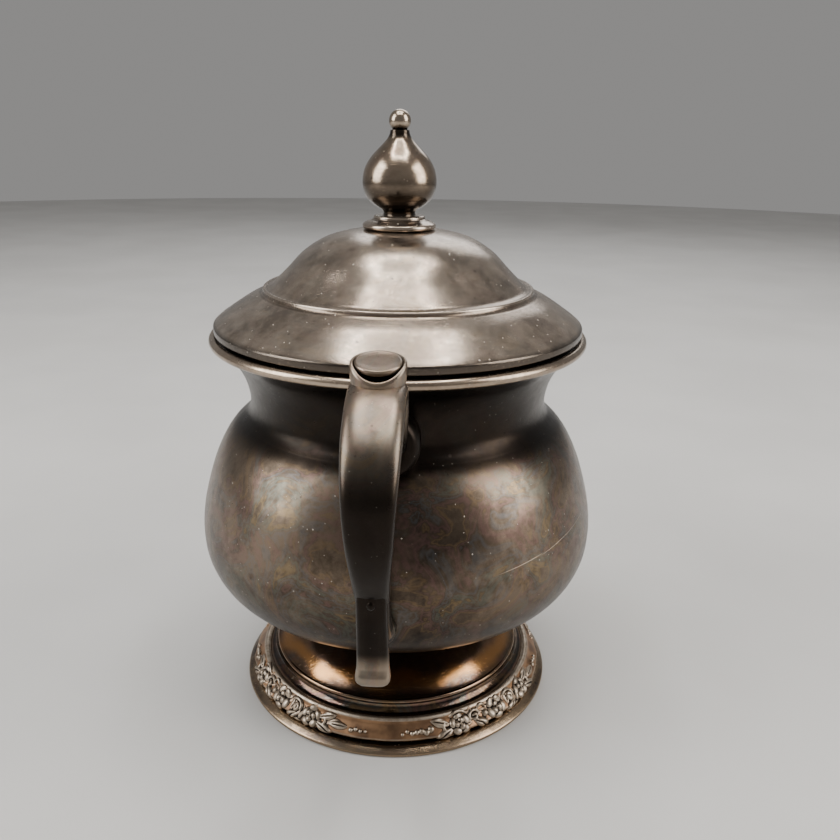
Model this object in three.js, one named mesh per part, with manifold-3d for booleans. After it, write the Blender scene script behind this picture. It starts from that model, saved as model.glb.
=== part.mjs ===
// Covered sugar bowl: a spun pot-bellied bowl on a stepped foot, two scroll handles and a loose domed lid.
// Millimetres, +Z up. The origin is the centre of the foot's underside; the handles stand along -Y and +Y.
import * as THREE from "three";
import { mergeVertices } from "three/addons/utils/BufferGeometryUtils.js";
import Module from "manifold-3d";

const wasm = await Module();
wasm.setup();

// Driving dimensions
const ROUND = 36;             // facets around the bowl, foot and lid
const FINE_ROUND = 16;        // facets around the knob and the fastenings
const BOWL_WALL = 1.2;        // thickness of the bowl's sheet
const FOOT_WALL = 1.1;        // thickness of the foot's sheet
const LID_WALL = 1.1;         // thickness of the lid's sheet
const GAP = 0.3;              // solder and fitting gap left between neighbouring pieces

const BOWL_BOTTOM = 23.8;     // underside of the bowl above the table
const LIP_TOP = 104.5;        // top edge of the bowl's sheet
const RIM_RADIUS = 50.4;      // centre line of the rim bead
const RIM_HEIGHT = 106.25;
const RIM_HALF_WIDTH = 1.35;  // half sizes of the bead's section
const RIM_HALF_HEIGHT = 1.4;

const FOOT_RADIUS = 46.6;     // outer edge of the base ring
const BASE_INNER_RADIUS = 41.6;
const BASE_HEIGHT = 2.5;

const LID_EDGE_RADIUS = 50.35;
const LID_EDGE_BOTTOM = 108.3;
const BEZEL_RADIUS = 44.6;
const BEZEL_WALL = 1.0;
const BEZEL_BOTTOM = 103;
const BEZEL_TOP = 112.5;
const COLLAR_RADIUS = 9.9;
const COLLAR_BOTTOM = 135.25;
const STUD_RADIUS = 1.5;

const GARLANDS = 4;
const GARLAND_OFFSET = 45;    // degrees from a handle to the middle of a garland
const ROSE_SPACING = 17.5;    // degrees between the roses of one garland
const BORDER_TILT = 42;       // degrees that the border's face leans back

const UPPER_BOSS_HEIGHT = 90.5;
const UPPER_BOSS_RADIUS = 8.8;
const UPPER_BOSS_FACE = 49.4; // distance of the boss's outer face from the bowl's axis
const LOWER_BOSS_HEIGHT = 47.6;
const LOWER_BOSS_RADIUS = 4.1;
const LOWER_BOSS_FACE = 59.2;
const STRAP_HALF_THICKNESS = 2.5;
const SPUR_WIDTH = 7.6;
const THUMB_REST = { width: 10.3, length: 9.0, thickness: 1.5, tilt: 16, radius: 58.0, height: 113.4 };
const THUMB_CUP = { width: 12.3, length: 10.5, height: 113.9 }; // the oval cup round the thumb rest
const CUTTER = 40;            // size of the blocks that trim a handle against the bowl

const FINIAL_BOTTOM = 138.6;
const STUD_BOTTOM = 128.6;
const STUD_TOP = 144.6;
const STUD_HOLE_TOP = 146;
const NUT = { radius: 3.6, low: 129.8, high: 132.1 };
const WASHER = { radius: 5, low: 132.4, high: 133.2 };

const material = (name, color, roughness) => {
  const made = new THREE.MeshStandardMaterial({ color, roughness, metalness: 1 });
  made.name = name;
  return made;
};
const tarnished = () => material("tarnished_silver", 0x5d5148, 0.38);
const dusty = () => material("dusty_silver", 0x8a8078, 0.45);
const worn = () => material("worn_plate", 0xa58a70, 0.35);
const bronze = () => material("dark_finial", 0x6a533f, 0.25);
const brass = () => material("plain_brass", 0xb08d4a, 0.4);

// Curves and solids of revolution

const spline = (points, steps) =>
  new THREE.SplineCurve(points.map(([r, z]) => new THREE.Vector2(r, z)))
    .getPoints(steps)
    .map((p) => [p.x, p.y]);

const degrees = (angle) => THREE.MathUtils.degToRad(angle);

// Points on an ellipse's arc, angles in degrees from +r towards +z.
const arc = (centre, halfWidth, halfHeight, from, to, steps) =>
  Array.from({ length: steps + 1 }, (_, i) => {
    const angle = degrees(from + ((to - from) * i) / steps);
    return [centre[0] + halfWidth * Math.cos(angle), centre[1] + halfHeight * Math.sin(angle)];
  });

// Moves an outline that runs upwards by a distance towards its left, which is into the metal.
function inset(points, distance) {
  return points.map((point, i) => {
    const before = points[Math.max(i - 1, 0)];
    const after = points[Math.min(i + 1, points.length - 1)];
    const run = [after[0] - before[0], after[1] - before[1]];
    const length = Math.hypot(run[0], run[1]);
    const radius = point[0] - (distance * run[1]) / length;
    return [i === 0 && point[0] === 0 ? 0 : Math.max(radius, 0), point[1] + (distance * run[0]) / length];
  });
}

// A solid of revolution about Z. The outline runs upwards outside and back down inside.
const turned = (points, segments = ROUND) =>
  new THREE.LatheGeometry(points.map(([r, z]) => new THREE.Vector2(r, z)), segments).rotateX(Math.PI / 2);

const closed = (points) => [...points, points[0]];

function toSolid(geometry) {
  const bare = geometry.clone();
  bare.deleteAttribute("normal");
  bare.deleteAttribute("uv");
  const merged = mergeVertices(bare, 1e-4);
  const index = merged.index.array;
  const triangles = [];
  for (let i = 0; i < index.length; i += 3) {
    const corners = [index[i], index[i + 1], index[i + 2]];
    if (new Set(corners).size === 3) triangles.push(...corners);
  }
  const vertProperties = Float32Array.from(merged.attributes.position.array);
  const triVerts = Uint32Array.from(triangles);
  return new wasm.Manifold(new wasm.Mesh({ numProp: 3, vertProperties, triVerts }));
}

function toGeometry(solid) {
  const mesh = solid.getMesh();
  const geometry = new THREE.BufferGeometry();
  geometry.setAttribute("position", new THREE.BufferAttribute(Float32Array.from(mesh.vertProperties), 3));
  geometry.setIndex(new THREE.BufferAttribute(Uint32Array.from(mesh.triVerts), 1));
  return geometry;
}

function named(name, geometry, look) {
  const mesh = new THREE.Mesh(geometry, look);
  mesh.name = name;
  return mesh;
}

// Bowl

// Outside of the bowl from the middle of its underside to the lip, as belly, shoulder and neck.
function bowlOutside() {
  const belly = spline([
    [0, BOWL_BOTTOM], [12, BOWL_BOTTOM], [25.6, 25.1], [36.3, 28.9], [45.2, 32.8], [52.0, 37.9],
    [55.6, 44.6], [56.6, 51.5], [55.9, 58.4], [54.3, 65.1], [52.2, 71.6], [49.6, 77.2], [46.9, 81.2],
    [44.2, 83.8],
  ], 16);
  const neck = spline([
    [42.3, 85.9], [41.5, 88.8], [41.9, 92.8], [43.1, 96.8], [45.3, 100.8], [48.6, LIP_TOP],
  ], 6);
  return [...belly, ...neck];
}

function bowlShell() {
  const outside = bowlOutside();
  const inside = inset(outside, BOWL_WALL);
  inside[inside.length - 1][1] = LIP_TOP;
  return turned([...outside, ...inside.reverse()]);
}

const rimBead = () =>
  turned(closed(arc([RIM_RADIUS, RIM_HEIGHT], RIM_HALF_WIDTH, RIM_HALF_HEIGHT, -90, 225, 7)));

// Foot

// Skirt behind the border, cove, rolled step and domed foot.
function footShell() {
  const outside = [
    [42.3, BASE_HEIGHT + GAP],
    [42.3, 3.6],
    ...spline([[40.2, 6.4], [39.4, 7.8], [38.4, 8.3], [37.6, 9.1], [37.2, 10.1]], 4),
    ...arc([36.65, 10.6], 0.6, 0.75, 0, 75, 2),
    ...spline([[35.6, 11.95], [31.5, 15.3], [27.0, 18.2], [23.6, 20.6], [22.4, 24.2]], 5),
  ];
  return turned(closed([...outside, ...inset(outside, FOOT_WALL).reverse()]));
}

const footBaseRing = () =>
  turned(closed([
    [BASE_INNER_RADIUS, 0], [FOOT_RADIUS - 0.4, 0], [FOOT_RADIUS, 0.4], [FOOT_RADIUS, 1.2],
    [FOOT_RADIUS - 0.4, 1.8], [FOOT_RADIUS - 1.9, BASE_HEIGHT], [BASE_INNER_RADIUS, BASE_HEIGHT],
  ]));

const BORDER_MIDDLE = [42.75, 5.75]; // radius and height of the middle of the border's face

// A flattened ball on the border's sloping face, at an angle around the foot and a place up the slope.
function petalBoss(angle, upSlope, halfLength, halfHeight, proud) {
  const slope = degrees(BORDER_TILT);
  const boss = new THREE.SphereGeometry(1, 6, 4);
  boss.scale(halfLength, halfHeight, proud);
  boss.rotateX(Math.PI / 2 - slope);
  const radius = BORDER_MIDDLE[0] - upSlope * Math.sin(slope);
  const height = BORDER_MIDDLE[1] + upSlope * Math.cos(slope);
  boss.translate(0, -radius, height);
  return boss.rotateZ(degrees(angle));
}

function garland(middle) {
  const roses = [-1, 0, 1].map((place) =>
    petalBoss(middle + place * ROSE_SPACING, 0, 3.1 - 0.3 * Math.abs(place), 2.3, 1.5));
  const leaves = [-1.5, -0.5, 0.5, 1.5].map((place) =>
    petalBoss(middle + place * ROSE_SPACING, place > 0 ? 0.5 : -0.5, 2.9, 1.5, 1.15));
  const tips = [-1.95, 1.95].map((place) => petalBoss(middle + place * ROSE_SPACING, 0, 2.4, 0.8, 0.95));
  return [...roses, ...leaves, ...tips];
}

function footBorder() {
  const ring = turned(closed([
    [42.75, 3.5], [44.3, 3.5], [44.5, 4.0], [44.2, 4.5], [41.4, 7.2], [41.2, 7.9], [40.5, 8.4], [39.9, 8.1],
    [40.6, 6.6],
  ]));
  let whole = toSolid(ring);
  for (let i = 0; i < GARLANDS; i += 1) {
    for (const boss of garland(GARLAND_OFFSET + (i * 360) / GARLANDS)) whole = whole.add(toSolid(boss));
  }
  const backing = toSolid(footShellClearance());
  return toGeometry(whole.subtract(backing));
}

// Everything inside the foot's face, so that relief which would sink through the border is cut flush.
function footShellClearance() {
  return turned([[0, 2], [42.6, 2], [42.6, 3.9], [40.3, 6.5], [39.75, 8.0], [39.0, 9.0], [0, 9.0]]);
}

// Lid

function lidOutside() {
  return [
    ...spline([[LID_EDGE_RADIUS - 0.35, LID_EDGE_BOTTOM], [LID_EDGE_RADIUS, 108.9], [LID_EDGE_RADIUS, 109.8],
      [LID_EDGE_RADIUS - 0.45, 110.7]], 3),
    ...spline([[48.6, 111.7], [45.2, 114.1], [41.6, 116.4], [37.9, 118.2]], 3),
    [37.1, 118.7],
    [36.8, 119.4],
    [36.3, 119.8],
    [34.6, 120.3],
    ...spline([[33.5, 121.1], [30.2, 124.3], [25.8, 128.8], [20.4, 132.2], [15.0, 133.9], [9.0, 134.8],
      [STUD_RADIUS + GAP, 134.9]], 8),
  ];
}

function lidShell() {
  const outside = lidOutside();
  const inside = inset(outside, LID_WALL);
  inside[0][1] = LID_EDGE_BOTTOM;
  inside[inside.length - 1][0] = STUD_RADIUS + GAP;
  return turned(closed([...outside, ...inside.reverse()]));
}

const lidBezel = () =>
  turned(closed([
    [BEZEL_RADIUS - BEZEL_WALL, BEZEL_BOTTOM],
    [BEZEL_RADIUS - 0.3, BEZEL_BOTTOM],
    [BEZEL_RADIUS, BEZEL_BOTTOM + 0.4],
    [BEZEL_RADIUS, BEZEL_TOP],
    [BEZEL_RADIUS - BEZEL_WALL, BEZEL_TOP + 0.6],
  ]));

const finialCollar = () =>
  turned(closed([
    [STUD_RADIUS + GAP, COLLAR_BOTTOM], [COLLAR_RADIUS - 0.3, COLLAR_BOTTOM],
    ...arc([COLLAR_RADIUS - 0.7, COLLAR_BOTTOM + 0.65], 0.7, 0.6, -60, 60, 3),
    [9.2, 136.6], [8.3, 137.0], [7.4, 137.3], [6.95, 137.7], [6.8, 138.2], [6.3, FINIAL_BOTTOM - GAP],
    [STUD_RADIUS + GAP, FINIAL_BOTTOM - GAP],
  ]), FINE_ROUND);

// The knob: a stem, an onion, a slender neck and a ball. Its foot has a blind hole for the stud.
function finial() {
  const onion = spline([
    [4.4, FINIAL_BOTTOM], [4.25, 139.2], [4.7, 139.9], [6.4, 141.0], [8.4, 142.7], [9.5, 145.1],
    [9.75, 147.6], [9.1, 150.6], [7.4, 153.4], [5.2, 155.7], [3.5, 157.5], [2.7, 158.8], [2.45, 159.9],
  ], 14);
  const ball = arc([0, 162.2], 2.85, 2.8, -50, 90, 6);
  ball[ball.length - 1][0] = 0;
  const bore = STUD_RADIUS + GAP;
  const hole = [[0, STUD_HOLE_TOP], [bore, STUD_HOLE_TOP - 1], [bore, FINIAL_BOTTOM]];
  return turned([...hole, ...onion, ...ball], FINE_ROUND);
}

const rod = (radius, low, high) =>
  turned([[0, low], [radius, low], [radius, high], [0, high]], FINE_ROUND);

const ringBlock = (inner, outer, low, high, segments = FINE_ROUND) =>
  turned(closed([[inner, low], [outer, low], [outer, high], [inner, high]]), segments);

// Handles, made at -Y

// A flat outline in distance from the axis and height, given a width across the handle.
function sideExtrusion(points, width) {
  const shape = new THREE.Shape(points.map(([r, z]) => new THREE.Vector2(r, z)));
  const body = new THREE.ExtrudeGeometry(shape, { depth: width, bevelEnabled: false, curveSegments: 1 });
  return body.translate(0, 0, -width / 2).rotateX(Math.PI / 2).rotateZ(-Math.PI / 2);
}

// An outline seen from the front, pushed from the bowl's side outwards past the handle.
function frontExtrusion(points) {
  const reach = 60;
  const start = 35;
  const shape = new THREE.Shape(points.map(([w, z]) => new THREE.Vector2(w, z)));
  const body = new THREE.ExtrudeGeometry(shape, { depth: reach, bevelEnabled: false, curveSegments: 1 });
  return body.rotateX(Math.PI / 2).translate(0, -start, 0);
}

// Centre line of the strap: up from the upper boss, over the top, out, down and in to the lower boss.
const strapPath = () =>
  spline([
    [46.5, 88.6], [51.8, 96.2], [54.6, 102.6], [57.6, 107.2], [62.9, 106.8], [69.0, 103.8], [75.2, 98.2],
    [78.8, 91.4], [79.0, 83.8], [76.7, 75.4], [72.4, 66.4], [66.6, 57.4], [60.6, 50.4], [56.6, 46.2],
  ], 26);

const strapBand = (halfThickness) => {
  const path = strapPath();
  return [...inset(path, -halfThickness), ...inset(path, halfThickness).reverse()];
};

// Half widths of the strap against height, as seen from the front.
function strapOutline() {
  const right = spline([
    [3.5, 40], [3.5, 60], [4.1, 71], [5.0, 81], [5.7, 92], [6.4, 101], [6.5, 108], [5.9, 113.5],
    [4.5, 116.5],
  ], 12);
  return [...right, ...right.map(([w, z]) => [-w, z]).reverse()];
}

function thumbRest() {
  const pad = new THREE.CylinderGeometry(1, 0.94, THUMB_REST.thickness, FINE_ROUND);
  pad.scale(THUMB_REST.width / 2, 1, THUMB_REST.length / 2);
  pad.rotateX(Math.PI / 2);
  pad.rotateX(degrees(THUMB_REST.tilt));
  return pad.translate(0, -THUMB_REST.radius, THUMB_REST.height);
}

// The oval cup on top of the strap. Its rim is level at the back and dips towards the front as the
// square of the distance, which leaves a gap below the thumb rest's front lip.
function thumbCup() {
  const cup = turned([
    [0, -6.6], [0.6, -6.3], [0.95, -4.5], [1, -2], [1, 0], [0.91, 0], [0.88, -2.6], [0.5, -2.6],
    [0.45, -1.95], [0, -1.95],
  ], FINE_ROUND);
  cup.scale(THUMB_CUP.width / 2, THUMB_CUP.length / 2, 1);
  const place = cup.attributes.position;
  for (let i = 0; i < place.count; i += 1) {
    const forward = -place.getY(i);
    const dip = 0.2 * forward + 0.074 * Math.max(forward + 1, 0) ** 2;
    place.setZ(i, place.getZ(i) - dip);
  }
  return cup.translate(0, -THUMB_REST.radius, THUMB_CUP.height);
}

// A round boss on a level axis that points away from the bowl.
function bossOnBowl(outline, height) {
  const boss = turned(outline, FINE_ROUND);
  return boss.rotateX(Math.PI / 2).translate(0, 0, height);
}

function handlePieces() {
  const roomOutline = bowlOutside().map(([r, z]) => [r === 0 ? 0 : r + GAP, z]);
  const bowlRoom = toSolid(turned([...roomOutline, [0, LIP_TOP]]));
  const face = UPPER_BOSS_FACE;
  const upperOutline = [
    [0, 38], [UPPER_BOSS_RADIUS, 38], [UPPER_BOSS_RADIUS, face - 3.4],
    ...arc([UPPER_BOSS_RADIUS - 2.4, face - 3.4], 2.4, 2.4, 15, 90, 4), [5.5, face], [0, face],
  ];
  const lowerOutline = [
    [0, 50], [LOWER_BOSS_RADIUS, 50], [LOWER_BOSS_RADIUS, LOWER_BOSS_FACE - 0.8],
    [LOWER_BOSS_RADIUS - 0.8, LOWER_BOSS_FACE], [0, LOWER_BOSS_FACE],
  ];
  const upperBoss = toSolid(bossOnBowl(upperOutline, UPPER_BOSS_HEIGHT)).subtract(bowlRoom);
  const lowerBoss = toSolid(bossOnBowl(lowerOutline, LOWER_BOSS_HEIGHT)).subtract(bowlRoom);
  const nearBowl = new THREE.BoxGeometry(CUTTER, 2 * (face + GAP), CUTTER)
    .translate(0, 0, UPPER_BOSS_HEIGHT);
  const nearBelly = new THREE.BoxGeometry(CUTTER, 2 * (LOWER_BOSS_FACE + GAP), CUTTER / 2)
    .translate(0, 0, LOWER_BOSS_HEIGHT);
  const strap = toSolid(sideExtrusion(strapBand(STRAP_HALF_THICKNESS), CUTTER))
    .intersect(toSolid(frontExtrusion(strapOutline())))
    .subtract(toSolid(nearBowl))
    .subtract(toSolid(nearBelly))
    .add(toSolid(thumbCup()));
  const spurSide = [
    [70.2, 45.2], [71.0, 42.8], [72.6, 42.2], [74.0, 43.2], [73.8, 46.4], [73.4, 49.8], [74.1, 55.3],
    [75.1, 61.3], [78.2, 68.2], [77.4, 70.2], [72.0, 64], [70.4, 57], [69.8, 50],
  ];
  const spur = toSolid(sideExtrusion(spurSide, SPUR_WIDTH))
    .subtract(toSolid(sideExtrusion(strapBand(STRAP_HALF_THICKNESS + GAP), CUTTER)));
  return {
    handle_strap: toGeometry(strap),
    thumb_rest: thumbRest(),
    spur: toGeometry(spur),
    upper_boss: toGeometry(upperBoss),
    lower_boss: toGeometry(lowerBoss),
  };
}

const sugarBowl = new THREE.Group();
sugarBowl.name = "covered_sugar_bowl";

const bowl = new THREE.Group();
bowl.add(named("bowl_shell", bowlShell(), tarnished()));
bowl.add(named("rim_bead", rimBead(), worn()));
bowl.add(named("foot_shell", footShell(), tarnished()));
bowl.add(named("foot_border", footBorder(), worn()));
bowl.add(named("foot_base_ring", footBaseRing(), worn()));

for (const [side, turn] of [["front", 0], ["rear", Math.PI]]) {
  const handle = new THREE.Group();
  handle.rotation.z = turn;
  for (const [piece, geometry] of Object.entries(handlePieces())) {
    handle.add(named(`${side}_${piece}`, geometry, tarnished()));
  }
  bowl.add(handle);
}

const lid = new THREE.Group();
lid.add(named("lid_shell", lidShell(), dusty()));
lid.add(named("lid_bezel", lidBezel(), dusty()));
lid.add(named("finial_collar", finialCollar(), bronze()));
lid.add(named("finial", finial(), bronze()));
lid.add(named("finial_stud", rod(STUD_RADIUS, STUD_BOTTOM, STUD_TOP), brass()));
const washer = ringBlock(STUD_RADIUS + GAP, WASHER.radius, WASHER.low, WASHER.high);
const nut = ringBlock(STUD_RADIUS + 2 * GAP, NUT.radius, NUT.low, NUT.high, 6);
lid.add(named("finial_washer", washer, brass()));
lid.add(named("finial_nut", nut, brass()));

sugarBowl.add(bowl, lid);

export default sugarBowl;
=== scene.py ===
# %% [markdown]
# # A covered sugar bowl in tarnished silver plate
# The bowl, foot and lid were spun from sheet on a lathe, so each is one outline turned about the
# upright axis. The handles, knob and rose border were cast and soldered or screwed on. We load the
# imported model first, because it settles every size, and then dress it with finer surfaces.

# %% Load the frame
import bmesh
import bpy
import numpy as np
from mathutils import Matrix, Vector


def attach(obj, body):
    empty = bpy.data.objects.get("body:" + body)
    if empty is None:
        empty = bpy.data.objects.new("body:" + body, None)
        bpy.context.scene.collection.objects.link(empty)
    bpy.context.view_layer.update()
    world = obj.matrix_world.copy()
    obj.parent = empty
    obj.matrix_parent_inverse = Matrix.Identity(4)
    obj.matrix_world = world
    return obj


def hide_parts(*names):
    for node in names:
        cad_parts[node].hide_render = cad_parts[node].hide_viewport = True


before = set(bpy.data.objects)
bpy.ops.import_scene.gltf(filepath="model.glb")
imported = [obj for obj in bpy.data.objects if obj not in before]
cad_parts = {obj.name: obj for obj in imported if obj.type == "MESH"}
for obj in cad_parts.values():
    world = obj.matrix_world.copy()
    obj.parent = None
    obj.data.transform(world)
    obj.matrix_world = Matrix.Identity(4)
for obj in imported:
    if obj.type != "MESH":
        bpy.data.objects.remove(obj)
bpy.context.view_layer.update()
MM = 0.001
print("pieces in the packed model:", len(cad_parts))

# %% [markdown]
# ## Curves
# An outline is a short list of points, radius first and height second, in millimetres. A spinner
# would cut the same points into a template. A curve through them is better than straight stretches,
# because metal that flowed over a wooden chuck has no corners except where a tool made one.

# %% Outlines
def smooth_line(points, count):
    """Points along a curve through the given ones: on each stretch a cubic whose slope at an end is
    half the step between that end's two neighbours."""
    given = np.asarray(points, float)
    place = np.linspace(0, len(given) - 1, count)
    start = np.minimum(place.astype(int), len(given) - 2)
    part = (place - start)[:, None]
    padded = np.vstack([given[:1], given, given[-1:]])
    before, here, there, after = (padded[start + step] for step in range(4))
    slope_here = (there - before) / 2
    slope_there = (after - here) / 2
    cubic = 2 * here - 2 * there + slope_here + slope_there
    square = 3 * there - 3 * here - 2 * slope_here - slope_there
    return ((cubic * part + square) * part + slope_here) * part + here


def arc(centre, half_width, half_height, start, end, count):
    """Centre plus half width times cosine and half height times sine, angles in degrees."""
    angle = np.radians(np.linspace(start, end, count))
    return np.stack([centre[0] + half_width * np.cos(angle), centre[1] + half_height * np.sin(angle)], 1)


def left_of(outline):
    """Unit vectors at right angles to an outline, on the left of the way it runs."""
    run = np.gradient(outline, axis=0)
    run /= np.linalg.norm(run, axis=1)[:, None] + 1e-12
    return np.stack([-run[:, 1], run[:, 0]], 1)


def walled(outside, wall):
    """An outline that runs up the outside and back down the inside, a wall's thickness away."""
    inside = outside + wall * left_of(outside)
    on_axis = outside[:, 0] < 1e-6
    inside[on_axis, 0] = 0
    inside[:, 0] = np.maximum(inside[:, 0], 0)
    return np.vstack([outside, inside[::-1]])


print("middle of a quarter circle of radius 10:", arc((0, 0), 10, 10, 0, 90, 3)[1].round(2))


# %% [markdown]
# ## From outlines to meshes
# A surface is a grid of points, one row for each place along an outline or path and one column for
# each step around it. Working on whole arrays keeps it quick.
# Wear follows shape: a cloth rubs what stands out and cannot reach what lies hollow. So the grid also
# carries how sharply its outline bends, and the finishes read that.

# %% Grids
AROUND = 288          # steps round a turned piece
FULL_WEAR = 0.55      # bend, in radians a millimetre, that counts as fully rubbed or fully hollow
BLUNT = 0.15          # millimetres added to each step, so that very short steps do not look sharp


def turned(outline, steps=AROUND):
    """Rows of (radius sin t, -radius cos t, height) for t from nothing to a full turn."""
    angle = np.linspace(0, 2 * np.pi, steps, endpoint=False)
    radius, height = np.asarray(outline, float).T
    return np.stack([
        radius[:, None] * np.sin(angle),
        -radius[:, None] * np.cos(angle),
        np.repeat(height[:, None], steps, 1),
    ], 2)


def wear(outline, steps=AROUND):
    """How far the outline turns in a millimetre: outward bends are rubbed and inward ones stay black."""
    outline = np.asarray(outline, float)
    step = np.diff(np.vstack([outline[-1:], outline, outline[:1]]), axis=0)
    length = np.linalg.norm(step, axis=1) + 1e-6
    heading = np.arctan2(step[:, 1], step[:, 0])
    turn = (np.diff(heading) + np.pi) % (2 * np.pi) - np.pi
    bend = turn / (0.5 * (length[1:] + length[:-1]) + BLUNT)
    around = np.repeat(bend[:, None], steps, 1) / FULL_WEAR
    return {"worn": np.clip(around, 0, 1), "hollow": np.clip(-around, 0, 1)}


def spun(name, outline, steps=AROUND, **options):
    """A turned piece that carries its wear."""
    return skin(name, turned(outline, steps), attributes=wear(outline, steps), **options)


def lying(grid, height):
    """A turned shape laid over so that its axis points at -Y, at a height."""
    return np.stack([grid[..., 0], -grid[..., 2], grid[..., 1] + height], -1)


print("steps round a turned piece:", AROUND)

# %% [markdown]
# A mesh that is closed has a volume, and its sign tells whether the faces point out, so one check
# turns every piece the right way. Blender could recalculate the normals instead, but that guesses
# wrong on thin shells.

# %% Meshes
SAME_POINT = 1e-7     # metres within which points are one


def signed_volume(points, faces):
    """A sixth of the sum of triple products over each face's two triangles."""
    a, b, c, d = (points[faces[:, k]] for k in range(4))
    first = np.einsum("ij,ij->i", a, np.cross(b, c))
    second = np.einsum("ij,ij->i", a, np.cross(c, d))
    return (first.sum() + second.sum()) / 6


def grid_faces(rows, columns, rows_close):
    """Each point with its neighbours in the next row and column. Columns always run right round."""
    last = rows if rows_close else rows - 1
    row, column = np.meshgrid(np.arange(last), np.arange(columns), indexing="ij")
    next_row, next_column = (row + 1) % rows, (column + 1) % columns
    return np.stack([
        row * columns + column, row * columns + next_column,
        next_row * columns + next_column, next_row * columns + column], -1).reshape(-1, 4)


def skin(name, grid, rows_close=False, attributes=None, crease=35):
    """A closed mesh over a grid whose columns run right round. Rows close on themselves, or end in
    a pole or a flat cap. Crease is the angle in degrees past which an edge looks sharp."""
    rows, columns = grid.shape[:2]
    points = grid.reshape(-1, 3) * MM
    faces = grid_faces(rows, columns, rows_close)
    outward = signed_volume(points, faces) > 0
    if not outward:
        faces = faces[:, ::-1]
    mesh = bpy.data.meshes.new(name)
    polygons = faces.tolist()
    if not rows_close:
        ring = np.arange(columns)
        caps = [ring[::-1] if outward else ring, ring + (rows - 1) * columns]
        if not outward:
            caps[1] = caps[1][::-1]
        polygons += [cap.tolist() for cap in caps if np.ptp(points[cap], axis=0).max() > SAME_POINT]
    mesh.from_pydata(points.tolist(), [], polygons)
    for key, values in (attributes or {}).items():
        layer = mesh.attributes.new(key, "FLOAT", "POINT")
        layer.data.foreach_set("value", values.reshape(-1).astype(np.float32))
    work = bmesh.new()
    work.from_mesh(mesh)
    bmesh.ops.remove_doubles(work, verts=work.verts, dist=SAME_POINT)
    work.to_mesh(mesh)
    work.free()
    mesh.polygons.foreach_set("use_smooth", np.ones(len(mesh.polygons), bool))
    mesh.set_sharp_from_angle(angle=np.radians(crease))
    piece = bpy.data.objects.new(name, mesh)
    bpy.context.scene.collection.objects.link(piece)
    return piece


def place(piece, body, slot, finish, *nodes):
    """Gives a piece its finish, lets it ride on a body and stand for its CAD nodes. The slot is not used.
    """
    piece.data.materials.clear()
    piece.data.materials.append(finish)
    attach(piece, body)
    if nodes:
        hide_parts(*nodes)
    print(f"{piece.name}: {len(piece.data.polygons)} faces")
    return piece


print("points within", SAME_POINT, "m are merged")

# %% [markdown]
# ## Writing a finish as arithmetic
# A finish is a tree of shader nodes. Wires are hard to read, so a socket is wrapped in a small class
# that understands +, -, * and the rest. An expression such as `1 - mask * 0.4` then adds the nodes.

# %% Shader arithmetic
class Field:
    """A number that varies over a surface: a shader socket with operators."""

    def __init__(self, finish, socket):
        self.finish = finish
        self.socket = socket

    def maths(self, operation, *values, clamp=False):
        """One Math node."""
        return self.finish.node("ShaderNodeMath", {"operation": operation, "use_clamp": clamp},
                                {i: v for i, v in enumerate(values)}, "Value")

    def __add__(self, other):
        return self.maths("ADD", self, other)

    def __sub__(self, other):
        return self.maths("SUBTRACT", self, other)

    def __rsub__(self, other):
        return self.maths("SUBTRACT", other, self)

    def __mul__(self, other):
        return self.maths("MULTIPLY", self, other)

    def __truediv__(self, other):
        return self.maths("DIVIDE", self, other)

    __radd__ = __add__
    __rmul__ = __mul__

    def clamp(self):
        """Kept between 0 and 1."""
        return self.maths("ADD", self, 0.0, clamp=True)

    def absolute(self):
        return self.maths("ABSOLUTE", self)

    def steps(self, low, high):
        """0 below low, 1 above high and a smooth rise between; high may be the lower one."""
        flip = high < low
        low, high = (high, low) if flip else (low, high)
        rise = self.finish.node("ShaderNodeMapRange", {"interpolation_type": "SMOOTHSTEP"},
                                {"Value": self, "From Min": low, "From Max": high}, "Result")
        return 1 - rise if flip else rise


print("a shader socket now takes + - * / and steps")

# %% [markdown]
# A finish holds one material. Any node comes from one method, which takes the node's type, then its
# settings, then its inputs. Patterns read Object coordinates, so that they stay put on the metal when
# a piece moves, and they need no unwrapping.

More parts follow.
